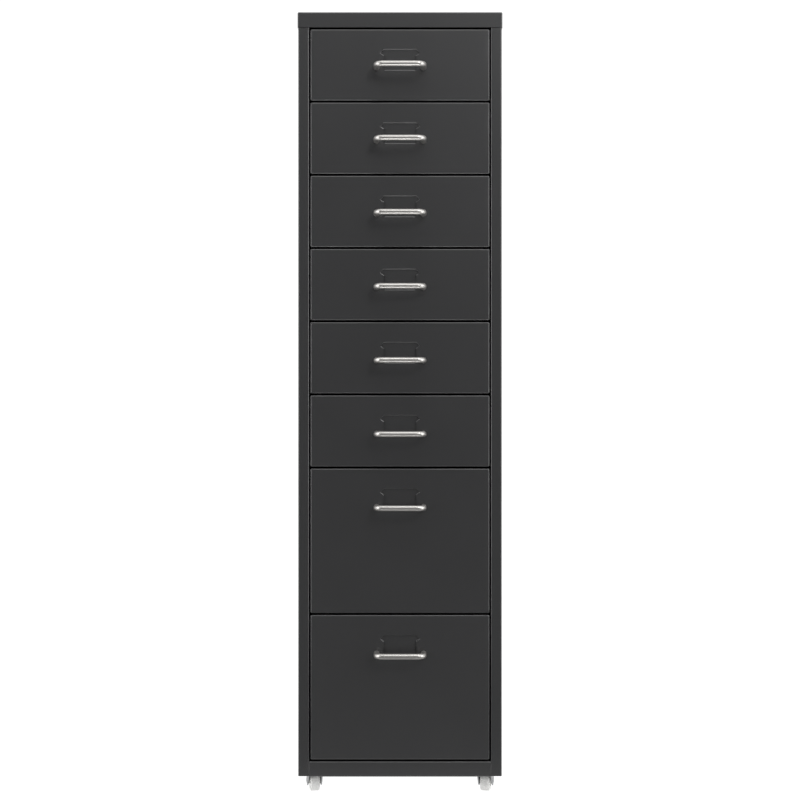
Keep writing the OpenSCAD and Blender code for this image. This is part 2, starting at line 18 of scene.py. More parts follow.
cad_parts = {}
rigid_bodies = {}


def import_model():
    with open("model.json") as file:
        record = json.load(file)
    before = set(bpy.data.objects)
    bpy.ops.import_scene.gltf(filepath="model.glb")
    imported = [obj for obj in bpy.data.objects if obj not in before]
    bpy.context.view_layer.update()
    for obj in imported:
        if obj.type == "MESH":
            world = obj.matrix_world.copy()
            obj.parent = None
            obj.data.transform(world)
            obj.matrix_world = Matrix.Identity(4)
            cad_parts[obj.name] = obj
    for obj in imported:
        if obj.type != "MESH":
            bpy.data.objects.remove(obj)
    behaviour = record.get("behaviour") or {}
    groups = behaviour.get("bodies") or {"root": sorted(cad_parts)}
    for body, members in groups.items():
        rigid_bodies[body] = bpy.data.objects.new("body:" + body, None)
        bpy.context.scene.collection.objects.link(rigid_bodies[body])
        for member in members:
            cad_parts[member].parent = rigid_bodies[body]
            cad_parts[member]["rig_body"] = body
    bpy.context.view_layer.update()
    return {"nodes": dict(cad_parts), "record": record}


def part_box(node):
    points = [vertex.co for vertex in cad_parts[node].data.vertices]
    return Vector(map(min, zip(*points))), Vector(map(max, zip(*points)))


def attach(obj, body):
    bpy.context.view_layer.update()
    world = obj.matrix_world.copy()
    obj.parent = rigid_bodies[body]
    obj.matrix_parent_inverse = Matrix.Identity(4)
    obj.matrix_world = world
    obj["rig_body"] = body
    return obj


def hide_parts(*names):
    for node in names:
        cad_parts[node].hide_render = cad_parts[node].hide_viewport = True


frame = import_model()
nodes = frame["nodes"]

# %% [markdown]
# ## Sizes
#
# Places come from the frame. A few sizes of folded sheet are needed beside it: how thick the
# steel is and how tightly it is folded. Blender works in metres, so a millimetre gets a name.

# %% Sizes that several pieces share
MM = 0.001
SHEET = 0.7 * MM
FOLD_R = 1.8 * MM
CASTERS = ("front_left", "front_right", "rear_left", "rear_right")
DRAWERS = range(1, 9)
front_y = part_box("drawer_1_front")[0].y
print(f"front plane at y = {front_y / MM:.1f} mm")

# %% [markdown]
# ## Working by hand, from a script
#
# An operator acts on whatever is selected, and the frame's nodes come in selected. So each step
# first picks one piece and then picks faces or edges on it by where they lie or which way they
# look, as a person would by clicking.


# %% Picking pieces, faces and edges
def only(piece):
    """Selects one piece and nothing else."""
    if bpy.context.object and bpy.context.object.mode != "OBJECT":
        bpy.ops.object.mode_set(mode="OBJECT")
    bpy.ops.object.select_all(action="DESELECT")
    piece.select_set(True)
    bpy.context.view_layer.objects.active = piece
    return piece


def start(name):
    """Names the primitive that was just added, and puts its place and size into its mesh."""
    piece = only(bpy.context.object)
    piece.name = piece.data.name = name
    bpy.ops.object.transform_apply(location=True, rotation=True, scale=True)
    return piece


def pick(piece, kind, test):
    """Enters edit mode with only the faces, edges or corners selected for which test is true."""
    only(piece)
    bpy.ops.object.mode_set(mode="EDIT")
    bpy.ops.mesh.select_mode(type=kind)
    bpy.ops.mesh.select_all(action="DESELECT")
    mesh = bmesh.from_edit_mesh(piece.data)
    mesh.normal_update()
    parts = {"FACE": mesh.faces, "EDGE": mesh.edges, "VERT": mesh.verts}[kind]
    picked = [part for part in parts if test(part)]
    for part in picked:
        part.select_set(True)
    mesh.select_flush_mode()
    bmesh.update_edit_mesh(piece.data)
    return len(picked)


def centre(part):
    """Middle of a face or an edge."""
    return sum((v.co for v in part.verts), Vector()) / len(part.verts)


def near(a, b, slack=0.02 * MM):
    return abs(a - b) < slack


def finish_modifier(piece, kind, **settings):
    """Adds a modifier, sets it and applies it."""
    only(piece)
    modifier = piece.modifiers.new(kind.title(), kind)
    for key, value in settings.items():
        setattr(modifier, key, value)
    bpy.ops.object.modifier_apply(modifier=modifier.name)


def smooth(piece, angle=35):
    """Smooth shading with creases, weighted so that flat faces stay flat beside their folds."""
    only(piece)
    bpy.ops.object.shade_smooth_by_angle(angle=math.radians(angle))
    finish_modifier(piece, "WEIGHTED_NORMAL", keep_sharp=True)
    return piece


def tidy_normals(piece):
    """Merges doubled corners and turns every face outwards."""
    pick(piece, "FACE", lambda face: True)
    bpy.ops.mesh.remove_doubles(threshold=0.001 * MM)
    bpy.ops.mesh.normals_make_consistent(inside=False)
    bpy.ops.object.mode_set(mode="OBJECT")


def copy_piece(piece, name, place=Matrix.Identity(4)):
    """A copy with its own mesh, put in its place by moving the mesh."""
    twin = piece.copy()
    twin.data = piece.data.copy()
    twin.name = twin.data.name = name
    twin.data.transform(place)
    bpy.context.collection.objects.link(twin)
    return twin


# %% [markdown]
# ## Materials
#
# Each finish is a small node tree. One function adds a node, sets it and links it. Colours are
# written as the sRGB hex values a designer would use, and one function turns them linear.


# %% Colours and nodes
def linear(hex_colour):
    """sRGB hex colour as linear RGBA."""
    channels = [int(hex_colour[i:i + 2], 16) / 255 for i in (1, 3, 5)]
    return [c / 12.92 if c <= 0.04045 else ((c + 0.055) / 1.055) ** 2.4 for c in channels] + [1]


def add_node(tree, kind, settings=None, links=None):
    """Adds a node; settings go to its inputs or properties, links are from other nodes' outputs."""
    node = tree.nodes.new("ShaderNode" + kind)
    for key, value in (settings or {}).items():
        if key in node.inputs:
            node.inputs[key].default_value = value
        else:
            setattr(node, key, value)
    for key, output in (links or {}).items():
        tree.links.new(output, node.inputs[key])
    return node


def new_finish(name, surface):
    """A material and its shader, on which the values that are the same all over are set."""
    finish = bpy.data.materials.new(name)
    finish.use_nodes = True
    tree = finish.node_tree
    shader = tree.nodes["Principled BSDF"]
    for socket, value in surface.items():
        shader.inputs[socket].default_value = value
    place = add_node(tree, "TexCoord").outputs["Object"]
    return finish, tree, shader, place


def between(tree, factor, dark, light):
    """A colour that wanders between two close tones."""
    tone = add_node(tree, "ValToRGB", None, {"Fac": factor})
    tone.color_ramp.elements[0].position, tone.color_ramp.elements[1].position = 0.3, 0.7
    tone.color_ramp.elements[0].color = linear(dark)
    tone.color_ramp.elements[1].color = linear(light)
    return tone.outputs["Color"]


# %% [markdown]
# ### Powder coat
#
# The sheet is coated with polyester powder that melts in an oven. It flows almost flat but keeps
# an orange peel of dimples about two millimetres apart, so its highlights are soft and slightly
# broken. Dark grey, satin, with an IOR near 1.5. The dimples are a few microns deep on the real
# one. Here they are a little deeper, so that they show.


# %% Powder coat
PEEL = 2.2 * MM
PEEL_DEPTH = 0.05 * MM
GRAIN = 0.35 * MM
GRAIN_DEPTH = 0.01 * MM
SHADE_PATCH = 90 * MM


def powder_coat(name, light, dark, roughness):
    finish, tree, shader, place = new_finish(name, {"IOR": 1.5, "Coat Weight": 0.6, "Coat Roughness": 0.25})
    cloud = add_node(tree, "TexNoise", {"Scale": 1 / SHADE_PATCH, "Detail": 2.0}, {"Vector": place})
    tree.links.new(between(tree, cloud.outputs["Fac"], dark, light), shader.inputs["Base Color"])
    grain = add_node(tree, "TexNoise", {"Scale": 1 / GRAIN, "Detail": 1.0}, {"Vector": place})
    gloss = add_node(tree, "MapRange", {"To Min": roughness - 0.04, "To Max": roughness + 0.05},
                     {"Value": grain.outputs["Fac"]})
    tree.links.new(gloss.outputs["Result"], shader.inputs["Roughness"])
    peel = add_node(tree, "TexNoise", {"Scale": 1 / PEEL, "Detail": 1.5}, {"Vector": place})
    bump = add_node(tree, "Bump", {"Strength": 0.25, "Distance": PEEL_DEPTH},
                    {"Height": peel.outputs["Fac"]})
    fine = add_node(tree, "Bump", {"Strength": 0.2, "Distance": GRAIN_DEPTH},
                    {"Height": grain.outputs["Fac"], "Normal": bump.outputs["Normal"]})
    tree.links.new(fine.outputs["Normal"], shader.inputs["Normal"])
    return finish


cabinet_coat = powder_coat("Powder-coated steel, cabinet", "#1f1f20", "#1d1d1e", 0.33)
drawer_coat = powder_coat("Powder-coated steel, drawers", "#1f1f20", "#1d1d1e", 0.33)
print(cabinet_coat.name, "with", len(cabinet_coat.node_tree.nodes), "nodes")

# %% [markdown]
# ### Nickel and zinc plate
#
# The handles are steel rod with satin nickel, a warm silver whose reflections are drawn out into
# soft bands along the rod. Screws, nuts and caster forks have thin zinc, which is greyer, duller
# and faintly patchy. The fine scratches are drawn at 0.4 mm, coarser than real ones.


# %% Plated metals
SCRATCH = 0.4 * MM
SCRATCH_DEPTH = 0.01 * MM


def plated(name, light, dark, roughness, spread, patch, metallic=1.0):
    finish, tree, shader, place = new_finish(name, {"Metallic": metallic})
    cloud = add_node(tree, "TexNoise", {"Scale": 1 / patch, "Detail": 3.0}, {"Vector": place})
    tree.links.new(between(tree, cloud.outputs["Fac"], dark, light), shader.inputs["Base Color"])
    gloss = add_node(tree, "MapRange", {"To Min": roughness - spread, "To Max": roughness + spread},
                     {"Value": cloud.outputs["Fac"]})
    tree.links.new(gloss.outputs["Result"], shader.inputs["Roughness"])
    scratch = add_node(tree, "TexNoise", {"Scale": 1 / SCRATCH, "Detail": 2.0}, {"Vector": place})
    bump = add_node(tree, "Bump", {"Strength": 0.1, "Distance": SCRATCH_DEPTH},
                    {"Height": scratch.outputs["Fac"]})
    tree.links.new(bump.outputs["Normal"], shader.inputs["Normal"])
    return finish


nickel = plated("Nickel-plated steel rod", "#a9a7a4", "#a3a19e", 0.34, 0.04, 6 * MM, 0.9)
zinc = plated("Zinc-plated pressed steel", "#a9aaab", "#97989a", 0.42, 0.08, 3 * MM)
print(nickel.name, "and", zinc.name)


# %% [markdown]
# ### Caster plastic
#
# The wheels are moulded in light grey polypropylene, with the fine spark texture that a mould
# leaves. The texture is about a tenth of a millimetre, drawn coarser here so that it shows.


# %% Moulded plastic
SPARK = 0.3 * MM
SPARK_DEPTH = 0.02 * MM
FLOW_PATCH = 8 * MM


def moulded_plastic(name, light, dark, roughness):
    finish, tree, shader, place = new_finish(name, {"IOR": 1.49})
    cloud = add_node(tree, "TexNoise", {"Scale": 1 / FLOW_PATCH, "Detail": 2.0}, {"Vector": place})
    tree.links.new(between(tree, cloud.outputs["Fac"], dark, light), shader.inputs["Base Color"])
    spark = add_node(tree, "TexNoise", {"Scale": 1 / SPARK, "Detail": 1.0}, {"Vector": place})
    gloss = add_node(tree, "MapRange", {"To Min": roughness - 0.06, "To Max": roughness + 0.06},
                     {"Value": spark.outputs["Fac"]})
    tree.links.new(gloss.outputs["Result"], shader.inputs["Roughness"])
    bump = add_node(tree, "Bump", {"Strength": 0.3, "Distance": SPARK_DEPTH},
                    {"Height": spark.outputs["Fac"]})
    tree.links.new(bump.outputs["Normal"], shader.inputs["Normal"])
    return finish


wheel_plastic = moulded_plastic("Moulded polypropylene, caster wheels", "#dadad8", "#d2d2d0", 0.5)

FINISHES = {"cabinet_paint": cabinet_coat, "drawer_paint": drawer_coat, "nickel_plating": nickel,
            "zinc_plating": zinc, "caster_plastic": wheel_plastic}


def coat(piece, slot):
    piece.data.materials.clear()
    piece.data.materials.append(FINISHES[slot])
    return piece


for row in frame["record"]["subparts"]:
    coat(nodes[row["node"]], row["material_slot"])
print(len(FINISHES), "finishes")


def stand_for(piece, node, slot):
    """Gives a finished piece its material and its body, and hides the frame node that it stands for."""
    coat(piece, slot)
    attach(piece, nodes[node]["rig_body"])
    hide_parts(node)
    return piece


# %% [markdown]
# ## Drawer fronts
#
# A front is one blank of sheet steel. Its four edges are folded back, and a small press pushes
# the card pocket in: a plate that steps back behind the face, with a lip on each side to hold
# the card's ends and a slit between plate and lip. It could be cut out with booleans, but then
# the folds would have no radius. Here the outer skin is folded from a block, the pocket is
# scored with bisect cuts and pushed back, its edges are bevelled, and the skin gets its
# thickness last, as real sheet has it everywhere.

# %% Sizes of the card pocket
POCKET_TOP = 27.5 * MM
POCKET_FLOOR = 56 * MM
POCKET_HALF = 27 * MM
POCKET_SLOPE = 5 * MM
PLATE_HALF = 21 * MM
SLIT = 1.2 * MM
LIP_DROP = 8.5 * MM
PRESS_DEPTH = 2.2 * MM
PRESS_OUTER_R = 0.9 * MM
PRESS_INNER_R = 0.8 * MM
FRONT_BORDER = 6 * MM
print(f"pocket {2 * POCKET_HALF / MM:.0f} mm wide, pressed {PRESS_DEPTH / MM:.1f} mm deep")


# %% Folded front with its pressed pocket
def cut(piece, test, point, normal):
    """Scores the faces for which test is true along a plane."""
    pick(piece, "FACE", test)
    bpy.ops.mesh.bisect(plane_co=point, plane_no=normal)


def score(piece, first, last):
    """Joins two corners of a face with a new edge across it."""
    pick(piece, "VERT", lambda v: min((v.co - first).length, (v.co - last).length) < 0.02 * MM)
    bpy.ops.mesh.vert_connect()


def folded_pan(name, low, high, open_way, radius):
    """Outer skin of a sheet whose four edges are folded over towards open_way."""
    bpy.ops.mesh.primitive_cube_add(size=1, location=(low + high) / 2, scale=high - low)
    skin = start(name)
    rim = max(low.dot(open_way), high.dot(open_way))
    pick(skin, "FACE", lambda face: face.normal.dot(open_way) > 0.9)
    bpy.ops.mesh.delete(type="FACE")
    pick(skin, "EDGE", lambda edge: not all(near(v.co.dot(open_way), rim) for v in edge.verts))
    bpy.ops.mesh.bevel(offset=radius, segments=5, affect="EDGES")
    return skin


def folded_front(name, low, high):
    """A front between two corners of its box, with its pocket."""
    skin = folded_pan(name, low, high, Vector((0, 1, 0)), FOLD_R)
    pick(skin, "FACE", lambda face: face.normal.y < -0.99)
    bpy.ops.mesh.inset(thickness=FRONT_BORDER)
    return press_pocket(skin, low.y, high.z - POCKET_TOP)


def press_pocket(skin, y, top):
    """Presses the card pocket into the face at y, with its upper edge at top."""
    lip_z, floor_z = top - LIP_DROP, top - (POCKET_FLOOR - POCKET_TOP)
    slope_z = top - POCKET_SLOPE
    half_mouth = PLATE_HALF + SLIT

    def on_face(face):
        return face.normal.y < -0.99 and near(centre(face).y, y)

    def near_pocket(face):
        heights = [v.co.z for v in face.verts]
        return min(heights) < top + 1 * MM and max(heights) > floor_z - 1 * MM

    for z in (top, slope_z, lip_z, floor_z):
        cut(skin, lambda face: on_face(face) and near_pocket(face), (0, y, z), (0, 0, 1))
    bands = {"slope": (slope_z, top), "lip": (lip_z, slope_z), "plate": (floor_z, lip_z)}

    def in_band(band):
        low_z, high_z = bands[band]
        return lambda face: on_face(face) and low_z < centre(face).z < high_z

    for x in (-POCKET_HALF, -(POCKET_HALF - POCKET_SLOPE), POCKET_HALF - POCKET_SLOPE, POCKET_HALF):
        cut(skin, in_band("slope"), (x, y, 0), (1, 0, 0))
    for x in (-POCKET_HALF, POCKET_HALF):
        cut(skin, in_band("lip"), (x, y, 0), (1, 0, 0))
    for x in (-half_mouth, -PLATE_HALF, PLATE_HALF, half_mouth):
        cut(skin, in_band("plate"), (x, y, 0), (1, 0, 0))
    # The sloping corners, and the lips' sloping upper ends
    for side in (-1, 1):
        corner = Vector((side * POCKET_HALF, y, slope_z))
        score(skin, corner, Vector((side * (POCKET_HALF - POCKET_SLOPE), y, top)))
        score(skin, corner, Vector((side * half_mouth, y, lip_z)))

    def pressed(face):
        if not on_face(face):
            return False
        x, z = abs(centre(face).x), centre(face).z
        if slope_z < z < top:
            return x - (POCKET_HALF - POCKET_SLOPE) < top - z
        if lip_z < z < slope_z:
            return x < half_mouth
        return floor_z < z < lip_z and x < PLATE_HALF

    def slit(face):
        x, z = abs(centre(face).x), centre(face).z
        return on_face(face) and floor_z < z < lip_z and PLATE_HALF < x < half_mouth

    pick(skin, "FACE", slit)
    bpy.ops.mesh.delete(type="FACE")
    pick(skin, "FACE", pressed)
    bpy.ops.mesh.extrude_region_move(TRANSFORM_OT_translate={"value": (0, PRESS_DEPTH, 0)})

    def flap(face):
        """Walls that the push drew along the slits, which are open cuts."""
        at = centre(face)
        if not y < at.y < y + PRESS_DEPTH - 0.01 * MM or at.z > lip_z + 0.01 * MM or at.z < floor_z:
            return False
        return near(abs(at.x), PLATE_HALF) or near(at.z, lip_z)

    pick(skin, "FACE", flap)
    bpy.ops.mesh.delete(type="FACE")

    def rim(edge):
        """Edges where the face turns into the pocket's walls."""
        normals = [face.normal.y for face in edge.link_faces]
        return (len(normals) == 2 and all(near(v.co.y, y) for v in edge.verts)
                and min(normals) < -0.9 and max(normals) > -0.1)

    def inner_rim(edge):
        """Edges where the pocket's walls meet its plate."""
        normals = [face.normal.y for face in edge.link_faces]
        return (len(normals) == 2 and all(near(v.co.y, y + PRESS_DEPTH) for v in edge.verts)
                and min(normals) < -0.9 and max(normals) > -0.1)

    pick(skin, "EDGE", rim)
    bpy.ops.mesh.bevel(offset=PRESS_OUTER_R, segments=3, affect="EDGES")
    pick(skin, "EDGE", inner_rim)
    bpy.ops.mesh.bevel(offset=PRESS_INNER_R, segments=3, affect="EDGES")
    bpy.ops.object.mode_set(mode="OBJECT")
    finish_modifier(skin, "SOLIDIFY", thickness=SHEET, offset=-1, use_even_offset=True)
    return smooth(skin)


# %% [markdown]
# Two sizes of front are folded, one for a shallow drawer and one for a deep one. The others are
# copies, each with its own mesh.

# %% Eight fronts
front_templates = {}
for number in DRAWERS:
    low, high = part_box(f"drawer_{number}_front")
    height = round((high.z - low.z) / MM)
    if height not in front_templates:
        front = folded_front(f"front_{number}", low, high)
        front_templates[height] = (front, high.z)
        print(f"front {height} mm high: {len(front.data.polygons)} faces")
    else:
        template, top = front_templates[height]
        front = copy_piece(template, f"front_{number}", Matrix.Translation((0, 0, high.z - top)))
    stand_for(front, f"drawer_{number}_front", "drawer_paint")

# %% [markdown]
# ## Bow handles
#
# A handle is a length of 8 mm steel rod, bent twice and plated. A curve with a bevel would give
# it too, but spinning a disc round each bend is how the rod itself moves through the bender,
# and gives even rings. The disc starts on the front's face and travels along the rod.

# %% Bow handle
ROD_R = 4 * MM
BEND_R = 9 * MM


def bow_handle(name, low, high):
    """Rod between two corners of its box, with both ends on the front's face."""
    y_face = high.y
    z = (low.z + high.z) / 2
    left, right = low.x + ROD_R, high.x - ROD_R
    reach = y_face - low.y - ROD_R
    bpy.ops.mesh.primitive_circle_add(vertices=32, radius=ROD_R, fill_type="NGON",
                                      location=(left, y_face, z), rotation=(math.radians(90), 0, 0))
    rod = start(name)

    def push(step):
        bpy.ops.mesh.extrude_region_move(TRANSFORM_OT_translate={"value": step})

    def bend(x):
        bpy.ops.mesh.spin(steps=12, angle=math.radians(-90), center=(x, y_face - reach + BEND_R, z),
                          axis=(0, 0, 1))

    pick(rod, "FACE", lambda face: True)
    push((0, -(reach - BEND_R), 0))
    bend(left + BEND_R)
    push((right - left - 2 * BEND_R, 0, 0))
    bend(right - BEND_R)
    push((0, reach - BEND_R, 0))
    bpy.ops.object.mode_set(mode="OBJECT")
    tidy_normals(rod)
    return smooth(rod)


# %% Eight handles
for number in DRAWERS:
    low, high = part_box(f"drawer_{number}_handle")
    if number == 1:
        handle = first_handle = bow_handle("handle_1", low, high)
        first_handle_z = low.z
        size = [round(side / MM, 1) for side in handle.dimensions]
        print(f"handle: {len(handle.data.polygons)} faces, box {size} mm")
    else:
        lower = Matrix.Translation((0, 0, low.z - first_handle_z))
        handle = copy_piece(first_handle, f"handle_{number}", lower)
    stand_for(handle, f"drawer_{number}_handle", "nickel_plating")

# %% [markdown]
# ## Cabinet panels
#
# A side panel is one strip: return, post, side and rear flange. Its section is drawn corner by
# corner from a single point, swept upwards, bevelled along the fold lines and given its
# thickness last. A box with parts cut away would show no folds at the post. The left panel is
# the right one mirrored, with its faces turned outwards again.


# %% Folded strips
def drawn_section(name, corners):
    """A line through the corners, drawn from one point, as an open wire."""
    bpy.ops.mesh.primitive_plane_add(size=1 * MM, location=corners[0])
    wire = start(name)
    pick(wire, "VERT", lambda corner: True)
    bpy.ops.mesh.merge(type="CENTER")
    for here, there in zip(corners, corners[1:]):
        bpy.ops.mesh.extrude_region_move(TRANSFORM_OT_translate={"value": there - here})
    return wire


def fold_lines(edge):
    return len(edge.link_faces) == 2 and edge.calc_face_angle() > math.radians(60)


def folded_strip(name, corners, sweep):
    """Outer skin of a strip that is folded at right angles."""
    skin = drawn_section(name, corners)
    pick(skin, "EDGE", lambda edge: True)
    bpy.ops.mesh.extrude_region_move(TRANSFORM_OT_translate={"value": sweep})
    return skin


def make_sheet(skin, thickness, radius=FOLD_R):
    """Rounds a skin's fold lines and gives it the sheet's thickness towards the inside."""
    pick(skin, "EDGE", fold_lines)
    bpy.ops.mesh.bevel(offset=radius, segments=5, affect="EDGES")
    tidy_normals(skin)
    finish_modifier(skin, "SOLIDIFY", thickness=thickness, offset=-1, use_even_offset=True)
    return smooth(skin)


# %% Side panels
side_low, side_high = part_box("right_side_panel")
lip_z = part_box("top_panel")[0].z
POST_RETURN = 8 * MM
REAR_FLANGE = 15 * MM
POST_CLEAR = 0.6 * MM

right_side = folded_strip("right_side", [
    Vector((side_low.x, side_low.y + POST_RETURN, side_low.z)),
    Vector((side_low.x, side_low.y, side_low.z)),
    Vector((side_high.x, side_low.y, side_low.z)),
    Vector((side_high.x, side_high.y, side_low.z)),
    Vector((side_high.x - REAR_FLANGE, side_high.y, side_low.z)),
], Vector((0, 0, side_high.z - side_low.z)))
# The post ends under the top panel's lip
cut(right_side, lambda face: True, (0, 0, lip_z - POST_CLEAR), (0, 0, 1))
cut(right_side, lambda face: face.calc_center_median().z > lip_z - POST_CLEAR,
    (0, side_low.y + POST_RETURN, 0), (0, 1, 0))
pick(right_side, "FACE", lambda face: centre(face).z > lip_z - POST_CLEAR
     and centre(face).y < side_low.y + POST_RETURN - 0.01 * MM)
bpy.ops.mesh.delete(type="FACE")
make_sheet(right_side, SHEET)
left_side = copy_piece(right_side, "left_side", Matrix.Scale(-1, 4, (1, 0, 0)))
tidy_normals(left_side)
smooth(left_side)
stand_for(right_side, "right_side_panel", "cabinet_paint")
stand_for(left_side, "left_side_panel", "cabinet_paint")
print(f"side panels: {len(right_side.data.polygons)} faces each")

# %% [markdown]
# The top panel is a shallow pan upside down. Its four lips are folded down and its corners are
# welded and ground round, so a block without its underside, bevelled along every fold, is closer
# to it than a strip.

# %% Top panel
top_low, top_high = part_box("top_panel")
top_pan = folded_pan("top", top_low, top_high, Vector((0, 0, -1)), FOLD_R)
bpy.ops.object.mode_set(mode="OBJECT")
finish_modifier(top_pan, "SOLIDIFY", thickness=SHEET, offset=-1, use_even_offset=True)
smooth(top_pan)
stand_for(top_pan, "top_panel", "cabinet_paint")
print(f"top panel: {len(top_pan.data.polygons)} faces")

# %% [markdown]
# The bottom panel starts as a strip as well: hem, front rail, plate and rear lip. Then its
# plate's sides are pulled out past the posts and folded down.

# %% Bottom panel
bottom_low, bottom_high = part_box("bottom_panel")
RAIL_HALF = 123.9 * MM
HEM = 7 * MM
PLATE_FRONT = 8.7 * MM
PLATE_REAR = 2 * MM
WELD_GAP = 0.05 * MM
plate_z = bottom_high.z
bottom = folded_strip("bottom", [
    Vector((-RAIL_HALF, bottom_low.y + HEM, bottom_low.z)),
    Vector((-RAIL_HALF, bottom_low.y, bottom_low.z)),
    Vector((-RAIL_HALF, bottom_low.y, plate_z)),
    Vector((-RAIL_HALF, bottom_high.y, plate_z)),
    Vector((-RAIL_HALF, bottom_high.y, side_low.z)),
], Vector((2 * RAIL_HALF, 0, 0)))


def on_plate(face):
    return all(near(v.co.z, plate_z) for v in face.verts)


plate_from, plate_to = bottom_low.y + PLATE_FRONT, bottom_high.y - PLATE_REAR
for y in (plate_from, plate_to):
    cut(bottom, on_plate, (0, y, 0), (0, 1, 0))
for side in (-1, 1):
    pick(bottom, "EDGE", lambda edge: near(centre(edge).x, side * RAIL_HALF)
         and near(centre(edge).z, plate_z) and plate_from < centre(edge).y < plate_to)
    bpy.ops.mesh.extrude_region_move(
        TRANSFORM_OT_translate={"value": (side * (bottom_high.x - RAIL_HALF), 0, 0)})
    bpy.ops.mesh.extrude_region_move(TRANSFORM_OT_translate={"value": (0, 0, side_low.z - plate_z)})
# The rail's ends reach the posts, to which they are welded
for side in (-1, 1):
    pick(bottom, "VERT", lambda v: near(v.co.x, side * RAIL_HALF)
         and v.co.y < bottom_low.y + HEM + 0.1 * MM)
    bpy.ops.transform.translate(value=(side * (side_low.x - RAIL_HALF - WELD_GAP), 0, 0))
make_sheet(bottom, SHEET)
stand_for(bottom, "bottom_panel", "cabinet_paint")
print(f"bottom panel: {len(bottom.data.polygons)} faces")

# %% [markdown]
# ## Drawer boxes
#
# A box is a tray of thinner sheet. Its two side walls are rolled over at the rim into flat
# flanges of double sheet, which slide in the runners, and a tab at each flange's end meets the
# stop. The walls come from a pan that is open above. The rolled flange is pulled out of the side
# walls' rims in three steps, out, up and back, the way the sheet goes through the rollers.

# %% Drawer box
BOX_SHEET = 0.6 * MM
BOX_FOLD_R = 1.4 * MM
ROLL_R = 0.5 * MM
FLANGE = 7.2 * MM
FLANGE_START = 9.5 * MM
WALL_Y = SHEET + 2.5 * MM
TAB = Vector((4.8, 1.2, 2.8)) * MM
TAB_EDGE = 0.2 * MM
TAB_BACK = 5 * MM
TAB_ROUND = 0.3 * MM


def drawer_box(name, low, high):
    """low and high are the corners of the box's node, whose flanges and tabs reach farthest."""
    half = high.x - FLANGE
    rim = high.z - TAB.z
    under = rim - 2 * BOX_SHEET
    flange_y = front_y + FLANGE_START
    skin = folded_pan(name, Vector((-half, front_y + WALL_Y, low.z)), Vector((half, high.y, rim)),
                      Vector((0, 0, 1)), BOX_FOLD_R)

    def flanged_wall(face):
        return abs(face.normal.x) > 0.99 and centre(face).y > flange_y

    # The side walls stop lower where they turn into the flange
    cut(skin, lambda face: abs(face.normal.x) > 0.99, (0, flange_y, 0), (0, 1, 0))
    cut(skin, flanged_wall, (0, 0, under), (0, 0, 1))
    pick(skin, "FACE", lambda face: flanged_wall(face) and centre(face).z > under)
    bpy.ops.mesh.delete(type="FACE")
    for side in (-1, 1):
        pick(skin, "EDGE", lambda edge: near(centre(edge).x, side * half)
             and near(centre(edge).z, under) and centre(edge).y > flange_y)
        for step in ((side * FLANGE, 0, 0), (0, 0, 2 * BOX_SHEET), (-side * (FLANGE + BOX_SHEET), 0, 0)):
            bpy.ops.mesh.extrude_region_move(TRANSFORM_OT_translate={"value": step})
    make_sheet(skin, BOX_SHEET, ROLL_R)
    tabs = []
    for side in (-1, 1):
        at = Vector((side * (high.x - TAB_EDGE - TAB.x / 2), high.y - TAB_BACK + TAB.y / 2,
                     rim + TAB.z / 2))
        bpy.ops.mesh.primitive_cube_add(size=1, location=at, scale=TAB)
        tab = start("tab")
        finish_modifier(tab, "BEVEL", width=TAB_ROUND, segments=2)
        tabs.append(tab)
    only(skin)
    for tab in tabs:
        tab.select_set(True)
    bpy.ops.object.join()
    return smooth(skin)


# %% Eight boxes
box_templates = {}
for number in DRAWERS:
    low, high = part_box(f"drawer_{number}_box")
    height = round((high.z - low.z) / MM)
    if height not in box_templates:
        box = drawer_box(f"box_{number}", low, high)
        box_templates[height] = (box, high.z)
        print(f"box {height} mm high: {len(box.data.polygons)} faces")
    else:
        template, top = box_templates[height]
        box = copy_piece(template, f"box_{number}", Matrix.Translation((0, 0, high.z - top)))
    stand_for(box, f"drawer_{number}_box", "drawer_paint")

# %% [markdown]
# ## Casters
#
# Four small furniture casters, each turned a little differently. One set of parts is made at the
# origin, trailing towards the back, and copied into place. The wheel and the rivet are turned:
# half a section is drawn and spun about the axle. The fork is pressed from one strip, so it is
# folded like the panels, its ears are trimmed round with bisect cuts, and the round crown is
# welded on with a boolean, because here the shapes do run into each other in the solid.

# %% Sizes of a caster
wheel_low, wheel_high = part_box("front_left_wheel")
WHEEL_R = (wheel_high.z - wheel_low.z) / 2
TRAIL = 11 * MM
TREAD_W = 13 * MM
HUB_W = 16.6 * MM
AXLE_R = 2.5 * MM
FORK_T = 1.5 * MM
FORK_OUT = 10.2 * MM
CROWN_TOP = 34.5 * MM
CROWN_R = 12 * MM
CROWN_FRONT = 9 * MM
EAR_R = 7.5 * MM
CROWN_BACK = 4 * MM


def turned(name, section, steps=64, axle=Vector((0, TRAIL, WHEEL_R)), way=Vector((1, 0, 0))):
    """Spins a section, given as distance along the axle and radius, about the axle."""
    corners = [axle + along * way + Vector((0, 0, radius)) for along, radius in section]
    piece = drawn_section(name, corners)
    pick(piece, "EDGE", lambda edge: True)
    bpy.ops.mesh.spin(steps=steps, angle=math.radians(360), center=axle, axis=way)
    tidy_normals(piece)
    return piece


def soften(piece, width, segments=2):
    """Rounds the edges that turn by more than 40 degrees."""
    finish_modifier(piece, "BEVEL", width=width, segments=segments, limit_method="ANGLE",
                    angle_limit=math.radians(40))
    return smooth(piece)


# %% Wheel
HUB_R = 5.4 * MM
BORE_R = AXLE_R + 0.05 * MM
RIM_R = WHEEL_R - 3.4 * MM
WEB_SET = 2.6 * MM
DRAFT = 0.4 * MM
RIM_SET = 0.3 * MM
SHOULDER_R = 1.8 * MM
SHOULDER_STEPS = 5


